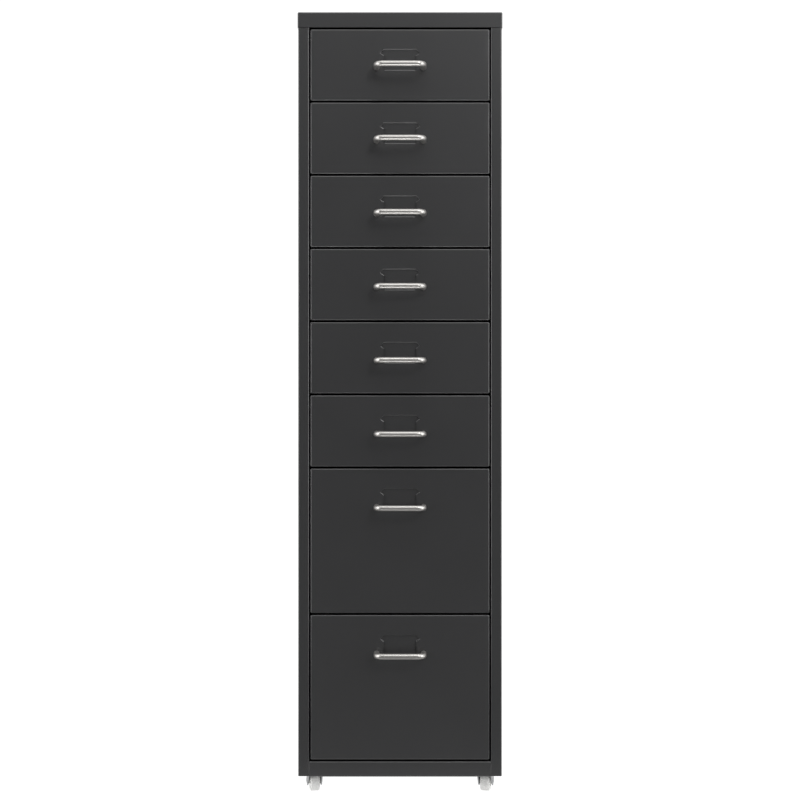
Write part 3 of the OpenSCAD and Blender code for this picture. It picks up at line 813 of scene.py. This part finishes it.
def caster_wheel():
    """Hub, web, rim and tread from one spun section, the same on both sides."""
    half = TREAD_W / 2
    web = half - WEB_SET
    side = [(HUB_W / 2, BORE_R), (HUB_W / 2, HUB_R), (web, HUB_R + DRAFT), (web, RIM_R - DRAFT),
            (half - RIM_SET, RIM_R), (half, WHEEL_R - SHOULDER_R)]
    for step in range(1, SHOULDER_STEPS + 1):
        turn = math.radians(90 / SHOULDER_STEPS * step)
        side.append((half - SHOULDER_R * (1 - math.cos(turn)), WHEEL_R - SHOULDER_R * (1 - math.sin(turn))))
    section = side + [(-along, radius) for along, radius in reversed(side)]
    wheel = turned("wheel", section + [section[0]])
    return soften(wheel, 0.35 * MM)


# %% Rivet
RIVET_HEAD_R = 4.2 * MM
RIVET_HEAD_H = 1.2 * MM
RIVET_DOME_H = 1.0 * MM
PRESS_CLEAR = 0.02 * MM


def caster_rivet():
    """Pin with a low dome at each end, spun about the axle."""
    reach = FORK_OUT + RIVET_HEAD_H
    dome = []
    for step in range(7):
        turn = math.radians(15 * step)
        dome.append((reach - RIVET_DOME_H * (1 - math.cos(turn)), RIVET_HEAD_R * math.sin(turn)))
    side = dome + [(FORK_OUT, RIVET_HEAD_R), (FORK_OUT, AXLE_R - PRESS_CLEAR)]
    section = side + [(-along, radius) for along, radius in reversed(side)]
    return soften(turned("rivet", section, 32), 0.15 * MM)


# %% Fork
BLANK_LEG = 30 * MM
FORK_FOLD_R = 2.6 * MM
EAR_STEPS = 15


def caster_fork():
    """Folded strip with two trimmed ears, and the round crown united with it."""
    skin = folded_strip("fork", [
        Vector((FORK_OUT, -CROWN_FRONT, CROWN_TOP - BLANK_LEG)),
        Vector((FORK_OUT, -CROWN_FRONT, CROWN_TOP)),
        Vector((-FORK_OUT, -CROWN_FRONT, CROWN_TOP)),
        Vector((-FORK_OUT, -CROWN_FRONT, CROWN_TOP - BLANK_LEG)),
    ], Vector((0, TRAIL + EAR_R + CROWN_FRONT, 0)))
    # The sloping rear edge, and then the round end about the axle, down to the lower edge
    rear_edge = Vector((0, CROWN_TOP - WHEEL_R, EAR_R - CROWN_BACK)).normalized()
    trims = [((0, TRAIL + EAR_R, WHEEL_R), rear_edge)]
    for step in range(EAR_STEPS):
        turn = math.radians(-10 * step)
        away = Vector((0, math.cos(turn), math.sin(turn)))
        trims.append((Vector((0, TRAIL, WHEEL_R)) + EAR_R * away, away))
    for point, away in trims:
        pick(skin, "FACE", lambda face: True)
        bpy.ops.mesh.bisect(plane_co=point, plane_no=away, clear_outer=True)
    make_sheet(skin, FORK_T, FORK_FOLD_R)
    bpy.ops.mesh.primitive_cylinder_add(vertices=64, radius=CROWN_R, depth=FORK_T,
                                        location=(0, 0, CROWN_TOP - FORK_T / 2))
    crown = start("crown")
    finish_modifier(skin, "BOOLEAN", operation="UNION", object=crown, solver="EXACT")
    bpy.data.objects.remove(crown)
    return soften(skin, 0.25 * MM)


# %% Four casters
caster_parts = {"wheel": (caster_wheel(), "caster_plastic"), "axle": (caster_rivet(), "zinc_plating"),
                "fork": (caster_fork(), "zinc_plating")}
for place in CASTERS:
    stem_low, stem_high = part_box(f"{place}_stem")
    wheel_low, wheel_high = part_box(f"{place}_wheel")
    pin = (stem_low + stem_high) / 2
    away = (wheel_low + wheel_high) / 2 - pin
    turn = math.atan2(-away.x, away.y)
    stand = Matrix.Translation((pin.x, pin.y, 0)) @ Matrix.Rotation(turn, 4, "Z")
    for part, (template, slot) in caster_parts.items():
        stand_for(copy_piece(template, f"{place}_{part}_piece", stand), f"{place}_{part}", slot)
    print(f"{place} caster turned {math.degrees(turn):.1f} degrees")
for part, (template, slot) in caster_parts.items():
    print(f"{part}: {len(template.data.polygons)} faces")
    bpy.data.objects.remove(template)

# %% [markdown]
# ## Screws
#
# Pan-head screws hold the back on, and one sits behind each handle leg. A screw is turned with
# its rounded head, and its cross recess is the one cut here that a boolean does best, as the
# real one is punched into the head. Each row of screws becomes one piece.

# %% Pan-head screw
SCREW_R = 1.95 * MM
HEAD_R = 3.8 * MM
HEAD_H = 2.2 * MM
HEAD_EDGE = 1.1 * MM
SCREW_POINT = 0.4 * MM
SHORT_LENGTH = 5.8 * MM
IN_HANDLE = 8 * MM
RECESS_LONG, RECESS_DEEP, RECESS_WIDE = 4 * MM, 2.2 * MM, 0.8 * MM
# Share of the head's radius that its flat middle takes
HEAD_FLAT = 0.45


def pan_screw(length):
    """Head's underside at the origin, head towards +Y."""
    section = [(-length, 0), (-length, SCREW_R - SCREW_POINT), (SCREW_POINT - length, SCREW_R),
               (0, SCREW_R), (0, HEAD_R), (HEAD_EDGE, HEAD_R)]
    for step in range(1, 7):
        turn = math.radians(15 * step)
        along = HEAD_EDGE + (HEAD_H - HEAD_EDGE) * math.sin(turn)
        section.append((along, HEAD_R * (HEAD_FLAT + (1 - HEAD_FLAT) * math.cos(turn))))
    screw = turned("screw", section + [(HEAD_H, 0)], 32, Vector((0, 0, 0)), Vector((0, 1, 0)))
    for size in ((RECESS_LONG, RECESS_DEEP, RECESS_WIDE), (RECESS_WIDE, RECESS_DEEP, RECESS_LONG)):
        bpy.ops.mesh.primitive_cube_add(size=1, location=(0, HEAD_H, 0), scale=size)
        punch = start("punch")
        finish_modifier(screw, "BOOLEAN", operation="DIFFERENCE", object=punch, solver="EXACT")
        bpy.data.objects.remove(punch)
    return smooth(screw)


def screw_set(name, template, places):
    """Copies of one screw, joined into one piece."""
    screws = [copy_piece(template, f"{name}_{k}", Matrix.Translation(at)) for k, at in enumerate(places)]
    only(screws[0])
    for screw in screws[1:]:
        screw.select_set(True)
    bpy.ops.object.join()
    screws[0].name = screws[0].data.name = name
    return screws[0]


# %% Screws through the back, and behind the handles
back_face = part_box("back_panel")[1].y
low_z, high_z = bottom_low.z, top_high.z
SCREW_X = side_high.x - REAR_FLANGE / 2
ROW_EDGE = 45 * MM
FROM_MIDDLE = 70 * MM
rows = [low_z + ROW_EDGE + k * (high_z - low_z - 2 * ROW_EDGE) / 4 for k in range(5)]
places = [Vector((side * SCREW_X, back_face, z)) for side in (-1, 1) for z in rows]
places += [Vector((side * FROM_MIDDLE, back_face, (low_z + plate_z) / 2)) for side in (-1, 1)]
places += [Vector((side * FROM_MIDDLE, top_high.y, (lip_z + high_z) / 2)) for side in (-1, 1)]
short_screw = pan_screw(SHORT_LENGTH)
stand_for(screw_set("back_screws", short_screw, places), "panel_screws", "zinc_plating")
print(f"{len(places)} screws in the back, {len(short_screw.data.polygons)} faces each")

HANDLE_GRIP = WALL_Y + BOX_SHEET
long_screw = pan_screw(HANDLE_GRIP + IN_HANDLE)
for number in DRAWERS:
    low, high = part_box(f"drawer_{number}_screws")
    half_pitch = high.x - HEAD_R
    places = [Vector((side * half_pitch, front_y + HANDLE_GRIP, (low.z + high.z) / 2)) for side in (-1, 1)]
    stand_for(screw_set(f"handle_screws_{number}", long_screw, places), f"drawer_{number}_screws",
              "zinc_plating")
bpy.data.objects.remove(short_screw)
bpy.data.objects.remove(long_screw)

# %% [markdown]
# ## Studio
#
# A plain white floor and a white surround, as in a catalogue studio. Two even white walls would
# wash out the wide dark fronts, so what the fronts mirror is dark: the surround towards the camera
# and the floor in front of the piece. The camera itself still sees both as white. What looks
# sideways, up or down gets its light from the edges of the set: the ring of the surround, a strip
# on each side, and a low and a top lamp draw the bright lines on folds and handles. One large
# soft lamp, high on the right, is the key. It gives the handles their short soft shadows.

# %% Floor
# Where the floor fades from dark to light, along Y, and its two strengths
FLOOR_FADE = (-0.34, -0.22)
FLOOR_GLOW = (0.12, 0.9)
bpy.ops.mesh.primitive_plane_add(size=12, location=(0, 0, 0))
floor = start("floor")
floor_paint, floor_tree, floor_shader, floor_place = new_finish(
    "Matt white floor", {"Base Color": linear("#5a5a5a"), "Roughness": 0.9, "Emission Color": (1, 1, 1, 1)})
along = add_node(floor_tree, "SeparateXYZ", None, {"Vector": floor_place})
bounce = add_node(floor_tree, "MapRange", {"From Min": FLOOR_FADE[0], "From Max": FLOOR_FADE[1],
                                           "To Min": FLOOR_GLOW[0], "To Max": FLOOR_GLOW[1]},
                  {"Value": along.outputs["Y"]})
to_camera = add_node(floor_tree, "LightPath").outputs["Is Camera Ray"]
glow = add_node(floor_tree, "MapRange", {"To Max": 1.0},
                {"Value": to_camera, "To Min": bounce.outputs["Result"]})
floor_tree.links.new(glow.outputs["Result"], floor_shader.inputs["Emission Strength"])
floor.data.materials.append(floor_paint)
print("floor glow from", FLOOR_GLOW[0], "in front to", FLOOR_GLOW[1], "below and behind")

# %% Surround
SURROUND_PEAK = 2.3
SURROUND_SEEN = 1.1
# Share of the peak, from the camera's side at 0 to behind the piece at 1
SURROUND_CURVE = ((0, 0.10), (0.16, 0.10), (0.25, 0.4), (0.34, 1.0), (0.50, 1.0), (0.54, 0.39), (1, 0.39))
world = bpy.data.worlds.new("Studio")
bpy.context.scene.world = world
world.use_nodes = True
surround = world.node_tree
backdrop = surround.nodes["Background"]
direction = add_node(surround, "TexCoord").outputs["Generated"]
toward = add_node(surround, "SeparateXYZ", None, {"Vector": direction})
share = add_node(surround, "MapRange", {"From Min": -1.0, "From Max": 1.0}, {"Value": toward.outputs["Y"]})
level = add_node(surround, "FloatCurve", None, {"Value": share.outputs["Result"]})
curve = level.mapping.curves[0]
for spot in SURROUND_CURVE[1:-1]:
    curve.points.new(*spot)
curve.points[0].location = SURROUND_CURVE[0]
curve.points[-1].location = SURROUND_CURVE[-1]
level.mapping.update()
strength = add_node(surround, "Math", {"operation": "MULTIPLY"}, {0: level.outputs["Value"]})
strength.inputs[1].default_value = SURROUND_PEAK
to_camera = add_node(surround, "LightPath").outputs["Is Camera Ray"]
seen = add_node(surround, "Mix", {"data_type": "FLOAT"}, {0: to_camera, 2: strength.outputs["Value"]})
seen.inputs[3].default_value = SURROUND_SEEN
surround.links.new(seen.outputs["Result"], backdrop.inputs["Strength"])
backdrop.inputs["Color"].default_value = (1, 1, 1, 1)
print(f"surround peaks at {SURROUND_PEAK}, beside the piece")


# %% Lamps
def soft_lamp(name, place, aim, width, height, watts, spread=180):
    """A soft box that the camera doesn't see, aimed at a point; spread in degrees."""
    bpy.ops.object.light_add(type="AREA", location=place)
    lamp = bpy.context.object
    lamp.name = name
    lamp.data.shape = "RECTANGLE"
    lamp.data.size, lamp.data.size_y = width, height
    lamp.data.energy = watts
    lamp.data.spread = math.radians(spread)
    lamp.rotation_euler = (Vector(aim) - lamp.location).to_track_quat("-Z", "Y").to_euler()
    lamp.visible_camera = False
    print(f"{name}: {width} by {height} m, {watts} W")


soft_lamp("key", (2.1, -4.3, 3.3), (0, -0.2, 0.6), 1.4, 1.4, 88)
soft_lamp("top_fill", (0.1, -1.2, 2.0), (0, -0.2, 0.95), 1.4, 0.5, 8)
soft_lamp("low_fill", (0, -0.62, 0.01), (0, -0.55, 1), 1.0, 0.5, 3, 80)
for side in (-1, 1):
    soft_lamp(f"side_strip_{side:+d}", (side * 1.1, -0.72, 0.6), (0, -0.5, 0.6), 0.55, 1.6, 10)

# %% [markdown]
# ## Camera
#
# Straight on, about two metres off, level with the middle of the piece, so that its edges stay
# upright and parallel. A long lens keeps the sides and the top out of sight.

# %% Camera
CAMERA_DISTANCE = 2.1
CAMERA_HEIGHT = 0.5446
SENSOR_WIDTH = 36
FOCAL_LENGTH = 69.22
bpy.ops.object.camera_add(location=(0, front_y - CAMERA_DISTANCE, CAMERA_HEIGHT),
                          rotation=(math.radians(90), 0, 0))
camera = bpy.context.object
camera.data.sensor_width = SENSOR_WIDTH
camera.data.lens = FOCAL_LENGTH
scene = bpy.context.scene
scene.camera = camera
scene.view_settings.view_transform = "Standard"
scene.view_settings.look = "None"
print(f"camera {CAMERA_DISTANCE} m in front, {CAMERA_HEIGHT:.2f} m up")
